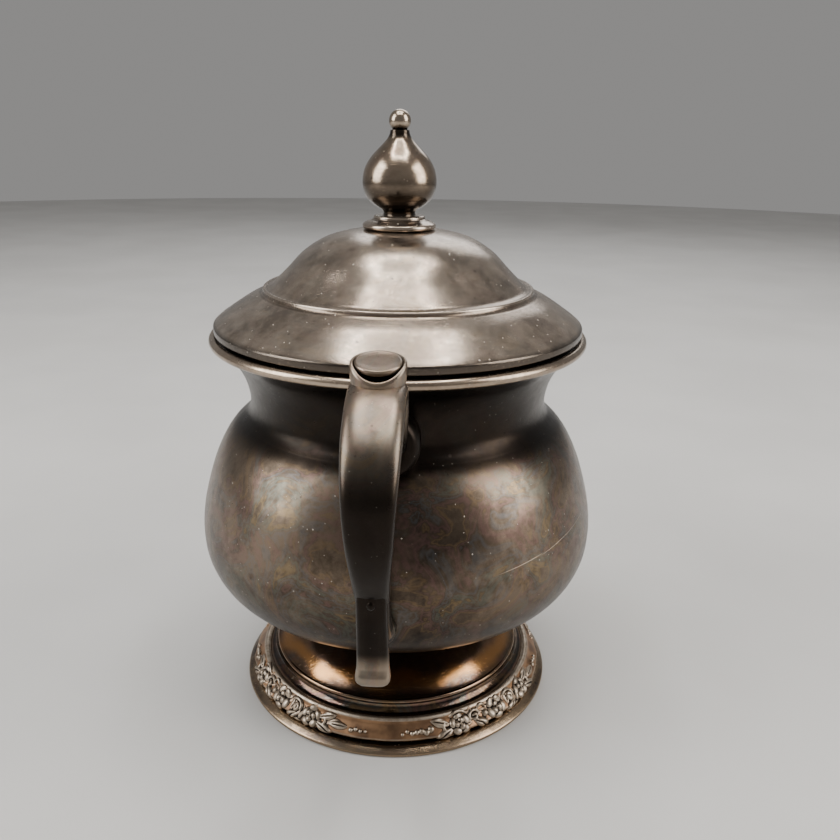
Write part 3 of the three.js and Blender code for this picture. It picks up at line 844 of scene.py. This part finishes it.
def strap_grid():
    """The strap: worn along its corners, with a painted shadow on its outer face where it turns over under
    the thumb pad.
    """
    path = smooth_line(STRAP_PATH, 150)
    width = np.interp(path[:, 1], *np.array(WIDTHS).T)
    section = rounded(96, 3.0)
    grid = swept(path, width, np.full(len(path), STRAP_HALF_THICKNESS), section)
    outer = section[None, :, 1] > 0
    corner = corners(section)
    # Painted shadow: the outer face under the thumb pad is marked hollow, which the handle's finish paints
    # black.
    shadow = np.exp(-((path[:, :1] - 57.6) / 2.0) ** 2) * (path[:, 1:] > 100) * outer
    fields = {"worn": np.clip(np.repeat(corner[None], len(path), 0), 0, 1),
              "hollow": np.clip(1.3 * shadow * (np.abs(section[None, :, 0]) < 0.86), 0, 1)}
    return grid, fields


def spur_grid():
    """The spur: it starts inside the strap, hangs straight and ends in a rounded tip that is paler towards
    its end.
    """
    path = smooth_line(SPUR_PATH, SPUR_ROWS)
    place_on = np.arange(SPUR_ROWS)
    rows, widths, thicknesses = np.array(SPUR_SIZES).T
    width = np.interp(place_on, rows, widths)
    thick = np.interp(place_on, rows, thicknesses)
    section = rounded(72, 3.4)
    end = np.exp(-((place_on - 73) / 5.0) ** 2)[:, None]
    fields = {"worn": np.clip(corners(section)[None] + end, 0, 1),
              "hollow": np.zeros((SPUR_ROWS, len(section)))}
    return swept(path, width, thick, section), fields


print("strap's widest place in mm:", 2 * max(width for height, width in WIDTHS))

# %% [markdown]
# The thumb rests on an oval pad that sits in a cup on top of the strap. The pad tips down and out, and
# the cup's rim dips in front, so a dark gap opens below the pad's lip. Both are turned shapes drawn out
# to an oval, and the dip is added afterwards as a height that grows with the distance forward.

# %% Thumb pad and cup
THUMB_DISTANCE = 58.0
PAD_HEIGHT, CUP_HEIGHT = 113.4, 113.9
PAD_HALF_WIDTH, PAD_HALF_LENGTH, PAD_TILT = 5.15, 4.5, 16
CUP_HALF_WIDTH, CUP_HALF_LENGTH = 6.15, 5.25
CUP_INSIDE_POINTS = 13
CUP_RIM_ROW = 20


def thumb_grid():
    """A shallow oval button with a rolled edge, tilted down and out."""
    edge = np.vstack([
        [(0, -0.75)], [(0.80, -0.75)], arc((0.9, -0.35), 0.08, 0.4, -90, 0, 6),
        arc((0.9, 0.3), 0.1, 0.42, 0, 110, 9),
        smooth_line([(0.84, 0.66), (0.6, 0.52), (0.3, 0.48), (0, 0.47)], 12)])
    grid = turned(edge, 96) * np.array([PAD_HALF_WIDTH, PAD_HALF_LENGTH, 1.0])
    tilt = np.radians(PAD_TILT)
    y = grid[..., 1] * np.cos(tilt) - grid[..., 2] * np.sin(tilt)
    z = grid[..., 1] * np.sin(tilt) + grid[..., 2] * np.cos(tilt)
    return np.stack([grid[..., 0], y - THUMB_DISTANCE, z + PAD_HEIGHT], -1), {}


def cup_grid():
    """An oval cup that the thumb pad sits in. Its rim runs level at the back and dips towards the
    front as the square of the distance, so that a gap opens below the pad's front lip."""
    outline = np.vstack([
        [(0, -6.6), (0.55, -6.4)], smooth_line([(0.86, -5.6), (0.97, -4.0), (1.01, -2.0), (1.0, -0.6)], 14),
        arc((0.93, -0.35), 0.07, 0.42, 0, 170, 9),
        smooth_line([(0.84, -0.9), (0.8, -1.7), (0.6, -2.2), (0, -2.3)], 12)])
    cup = turned(outline, 128)
    across, forward, up = cup[..., 0] * CUP_HALF_WIDTH, -cup[..., 1] * CUP_HALF_LENGTH, cup[..., 2]
    fall = 0.2 * forward + 0.074 * np.clip(forward + 1, 0, None) ** 2
    # Painted shadow: the inside of the cup under the pad is marked hollow, which the handle's finish paints
    # black.
    inside = np.arange(len(outline)) > len(outline) - CUP_INSIDE_POINTS
    hollow = np.repeat(inside[:, None] * 1.0, 128, 1)
    rim = np.exp(-((np.arange(len(outline)) - CUP_RIM_ROW) / 3.0) ** 2)
    fields = {"hollow": hollow, "worn": np.repeat(rim[:, None] * 0.8, 128, 1)}
    return np.stack([across, -(THUMB_DISTANCE + forward), CUP_HEIGHT + up - fall], -1), fields


print("pad and cup in mm:", 2 * PAD_HALF_WIDTH, 2 * CUP_HALF_WIDTH)

# %% [markdown]
# Behind the strap, two round bosses carry the solder: a wide one on the neck and a small one on the
# belly. They are turned shapes laid over. Cast feet are filed to sit on the bowl, so every point that
# would come inside is moved out to the middle of the bowl's wall.

# %% Bosses, drop and both handles
def upper_boss_grid():
    """A wide button with a rounded face, on the neck."""
    face = 49.4
    outline = np.vstack([[(0, 41.0), (8.6, 41.0), (8.8, 45.0)], arc((6.4, face - 3.4), 2.4, 3.4, 0, 80, 12),
                         [(5.2, face), (0, face)]])
    return lying(turned(outline, 96), 90.5), {}


def lower_boss_grid():
    """A small button on the belly, at the strap's lower end."""
    outline = np.vstack([[(0, 52.0), (4.1, 52.0), (4.1, 57.2)], arc((2.9, 57.8), 1.2, 1.4, 0, 90, 8),
                         [(0, 59.3)]])
    return lying(turned(outline, 64), 47.6), {}


FIRST_SIDE_POINT = 32     # from here on the bowl's outline only rises


def seated(grid):
    """Keeps a casting out of the bowl: no point is nearer the axis than the middle of its wall."""
    sides = bowl_line[FIRST_SIDE_POINT:]
    radius = np.interp(grid[..., 2], sides[:, 1], sides[:, 0]) - BOWL_WALL / 2
    seat = np.sqrt(np.maximum(radius ** 2 - grid[..., 0] ** 2, 0))
    return np.stack([grid[..., 0], np.minimum(grid[..., 1], -seat), grid[..., 2]], -1)


def drop_grid():
    """The small round drop where the spur leaves the strap."""
    return lying(turned(arc((0, 75.0), 1.1, 1.0, -90, 90, 14), 32) * np.array([1, 1.2, 1]), 65.2), {}


for side, sign in (("front", 1), ("rear", -1)):
    facing = np.array([sign, sign, 1])
    for part, (grid, fields), metal, nodes in (
            ("strap", strap_grid(), HANDLE, ["handle_strap"]),
            ("spur_casting", spur_grid(), HANDLE, ["spur"]),
            ("drop", drop_grid(), HANDLE, []),
            ("thumb_cup", cup_grid(), HANDLE, []),
            ("thumb_pad", thumb_grid(), HANDLE, ["thumb_rest"]),
            ("neck_boss", upper_boss_grid(), BELLY, ["upper_boss"]),
            ("belly_boss", lower_boss_grid(), BELLY, ["lower_boss"])):
        piece = skin(f"{side}_{part}", seated(grid) * facing, attributes=fields)
        place(piece, "bowl", "handle_silver", metal, *[f"{side}_{node}" for node in nodes])

# %% [markdown]
# ## The floor
# Polished metal shows its surroundings more than itself, so the floor matters. It is a plain pale disc,
# wide enough that its edge stays far off, and matt, so that it fills in from below without a mirror
# image.

# %% Floor
def pale_floor():
    """Matt off-white with the faintest clouds."""
    f = Finish("pale_floor")
    grain = f.noise(90, 3, 0.5)
    tone = f.mix(grain.steps(0.3, 0.7), (0.50, 0.495, 0.485), (0.54, 0.535, 0.525))
    return f.finish(tone, 0.75, metallic=0.0)


FLOOR_RADIUS, FLOOR_DEPTH = 1800, 4.0
floor_line = [(0, -FLOOR_DEPTH), (FLOOR_RADIUS, -FLOOR_DEPTH), (FLOOR_RADIUS, 0.0), (0, 0.0)]
floor = skin("floor", turned(floor_line, 96))
floor.data.materials.append(pale_floor())
print("floor radius in mm:", FLOOR_RADIUS)

# %% [markdown]
# ## The lights
# Four soft strips in a square and a weaker panel between them hang overhead. In the lid and the knob
# they draw a bright patch with a brighter outline, as a framed ceiling light does. Two upright panels
# at the sides draw the wide glints on the belly, and a weak one behind lifts the far edge.

# %% Lights
def soft_light(name, position, target, size, power, colour=(1, 1, 1)):
    """A rectangular lamp that faces a target, in metres and watts."""
    lamp = bpy.data.lights.new(name, "AREA")
    lamp.shape = "RECTANGLE"
    lamp.size, lamp.size_y = size
    lamp.energy = power
    lamp.color = colour
    holder = bpy.data.objects.new(name, lamp)
    holder.location = position
    holder.rotation_euler = (Vector(target) - Vector(position)).to_track_quat("-Z", "Y").to_euler()
    bpy.context.scene.collection.objects.link(holder)


MIDDLE = (0, 0, 0.09)
CEILING, REACH = 0.95, 0.23
for index, (x, y) in enumerate([(0, -REACH), (0, REACH), (-REACH, 0), (REACH, 0)]):
    long_way = (0.52, 0.07) if x == 0 else (0.07, 0.40)
    soft_light(f"ceiling_{index + 1}", (x, y, CEILING), (x, y, 0), long_way, 1.5, (1.0, 0.97, 0.93))
soft_light("ceiling_middle", (0, 0, CEILING + 0.02), (0, 0, 0), (0.44, 0.38), 1.3, (1.0, 0.97, 0.93))
soft_light("left_window", (-0.75, -0.25, 0.50), (0, 0, 0.12), (0.44, 0.74), 7.6, (0.99, 0.98, 0.96))
soft_light("right_window", (0.75, -0.18, 0.47), (0, 0, 0.12), (0.44, 0.74), 7.2, (1.0, 0.96, 0.91))
soft_light("back_fill", (0.1, 0.9, 0.7), MIDDLE, (0.7, 0.5), 3.0)

world = bpy.data.worlds.new("studio")
world.use_nodes = True
world.node_tree.nodes["Background"].inputs["Color"].default_value = (0.27, 0.265, 0.26, 1)
world.node_tree.nodes["Background"].inputs["Strength"].default_value = 1.0
bpy.context.scene.world = world
print("lights:", len(bpy.data.lights))

# %% [markdown]
# ## The camera
# The camera looks down at the bowl from close by, which is why the lid seems large and the foot small.
# Its place was worked out from the three circles of rim, lid and foot, which show as ellipses: how flat
# each one is gives the angle, and how the sizes shrink with height gives the distance.

# %% Camera
LENS = 35.6
DISTANCE, HEIGHT = 0.2276, 0.1607
AZIMUTH, PITCH, YAW, ROLL = np.radians([4.2, 19.43, 1.60, 0.89])


def eye_axes():
    """Right, up and backward for a camera that looks along +Y, pitched down, yawed and rolled."""
    forward = Vector((np.sin(YAW) * np.cos(PITCH), np.cos(YAW) * np.cos(PITCH), -np.sin(PITCH)))
    right = Vector((np.cos(YAW), -np.sin(YAW), 0))
    up = right.cross(forward)
    rolled_right = right * np.cos(ROLL) + up * np.sin(ROLL)
    rolled_up = up * np.cos(ROLL) - right * np.sin(ROLL)
    return rolled_right, rolled_up, -forward


axes = Matrix([list(a) for a in eye_axes()]).transposed()
spin = Matrix.Rotation(AZIMUTH, 3, "Z")
camera = bpy.data.objects.new("camera", bpy.data.cameras.new("camera"))
camera.data.lens = LENS
camera.data.sensor_width = 36.0
camera.data.clip_start = 0.01
stand = spin @ Vector((0, -DISTANCE, HEIGHT))
camera.matrix_world = Matrix.Translation(stand) @ (spin @ axes).to_4x4()
bpy.context.scene.collection.objects.link(camera)
bpy.context.scene.camera = camera
print("camera pitch in degrees:", round(float(np.degrees(PITCH)), 2))
